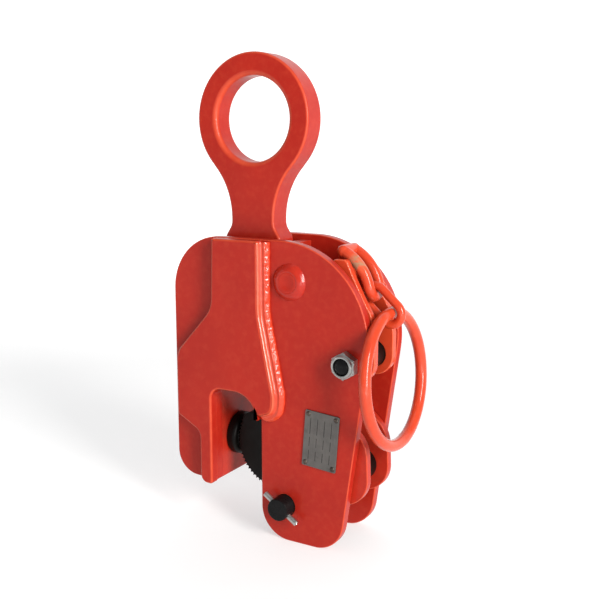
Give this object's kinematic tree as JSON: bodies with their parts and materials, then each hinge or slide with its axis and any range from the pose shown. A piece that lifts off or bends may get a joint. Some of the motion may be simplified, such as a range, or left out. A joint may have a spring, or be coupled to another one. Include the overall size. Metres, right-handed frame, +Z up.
{
  "type": "plate lifting clamp",
  "caption": "Vertical plate lifting clamp with a sliding lifting eye, toothed cam and swivel jaw in a hooked mouth, and a sprung lock lever on a pull chain.",
  "frame": {"origin": "centre of the lifting eye's hole", "axes": "+X from the jaw side towards the pull ring, +Y through the thickness of the clamp along the hole's axis, +Z up along the neck of the eye"},
  "size_m": [0.1459, 0.083, 0.288],
  "materials": {
    "orange_paint": "gloss orange-red enamel on steel",
    "weld_paint": "gloss enamel over rippled weld",
    "hardened_black": "black oxide on hardened alloy steel, satin",
    "black_steel": "black oxide turned steel",
    "zinc_steel": "bright zinc plate",
    "name_metal": "etched matt aluminium plate",
    "rivet_metal": "dull steel drive rivets"
  },
  "bodies": {
    "eye": {"lifting_eye": "orange_paint"},
    "shell": {"near_side_plate": "orange_paint", "far_side_plate": "orange_paint", "near_hook_plate": "orange_paint", "far_hook_plate": "orange_paint", "near_weld_bead": "weld_paint", "far_weld_bead": "weld_paint", "jaw_block": "orange_paint", "left_guide_block": "orange_paint", "right_guide_block": "orange_paint", "cross_stay": "orange_paint", "stay_weld_rings": "weld_paint", "nameplate": "name_metal", "nameplate_rivets": "rivet_metal", "lever_bolt": "black_steel", "lever_nut": "zinc_steel", "lever_spacer": "black_steel", "cam_pin": "black_steel", "cam_spring_pin": "zinc_steel", "cam_spacers": "black_steel", "spring_anchor_pin": "black_steel", "jaw_retaining_pin": "zinc_steel"},
    "swivel_jaw": {"swivel_jaw": "hardened_black"},
    "cam": {"cam": "hardened_black", "link_pin": "black_steel"},
    "links": {"near_link_plate": "orange_paint", "far_link_plate": "orange_paint", "eye_pin": "black_steel", "eye_pin_collars": "zinc_steel"},
    "lever": {"lock_lever": "orange_paint", "pull_bail": "orange_paint", "lever_spring_pin": "black_steel", "lock_spring": "zinc_steel"},
    "chain": {"chain_link": "orange_paint"},
    "ring": {"pull_ring": "orange_paint"}
  },
  "joints": [
    {"name": "shell_slide", "type": "slide", "parent": "eye", "child": "shell", "axis": [0, 0, 1], "range_m": [0, 0.027]},
    {"name": "cam_turn", "type": "hinge", "parent": "shell", "child": "cam", "pos_m": [0.0316, 0, -0.2274], "axis": [0, 1, 0], "range_deg": [0, 31.7]},
    {"name": "link_turn", "type": "hinge", "parent": "cam", "child": "links", "pos_m": [0.066, 0, -0.205], "axis": [0, 1, 0], "range_deg": [-36.5, 0]},
    {"name": "jaw_swivel", "type": "hinge", "parent": "shell", "child": "swivel_jaw", "pos_m": [-0.0175, 0, -0.196], "axis": [1, 0, 0], "continuous": true},
    {"name": "lever_turn", "type": "hinge", "parent": "shell", "child": "lever", "pos_m": [0.0725, 0, -0.1356], "axis": [0, 1, 0], "range_deg": [0, 35], "stiffness_Nm_per_rad": 1.2, "springref_deg": -22.92, "deforming": ["lock_spring"]},
    {"name": "chain_swing", "type": "hinge", "parent": "lever", "child": "chain", "pos_m": [0.07818, 0, -0.09959], "axis": [0, 1, 0], "range_deg": [-35, 0]},
    {"name": "ring_swing", "type": "hinge", "parent": "chain", "child": "ring", "pos_m": [0.08809, 0, -0.10855], "axis": [0, 1, 0], "range_deg": [-95, 0]}
  ],
  "couplings": [
    {"joint": "cam_turn", "follows": "shell_slide", "rad_per_m": 20.4},
    {"joint": "link_turn", "follows": "shell_slide", "rad_per_m": -23.48},
    {"joint": "chain_swing", "follows": "lever_turn", "ratio": -1}
  ]
}
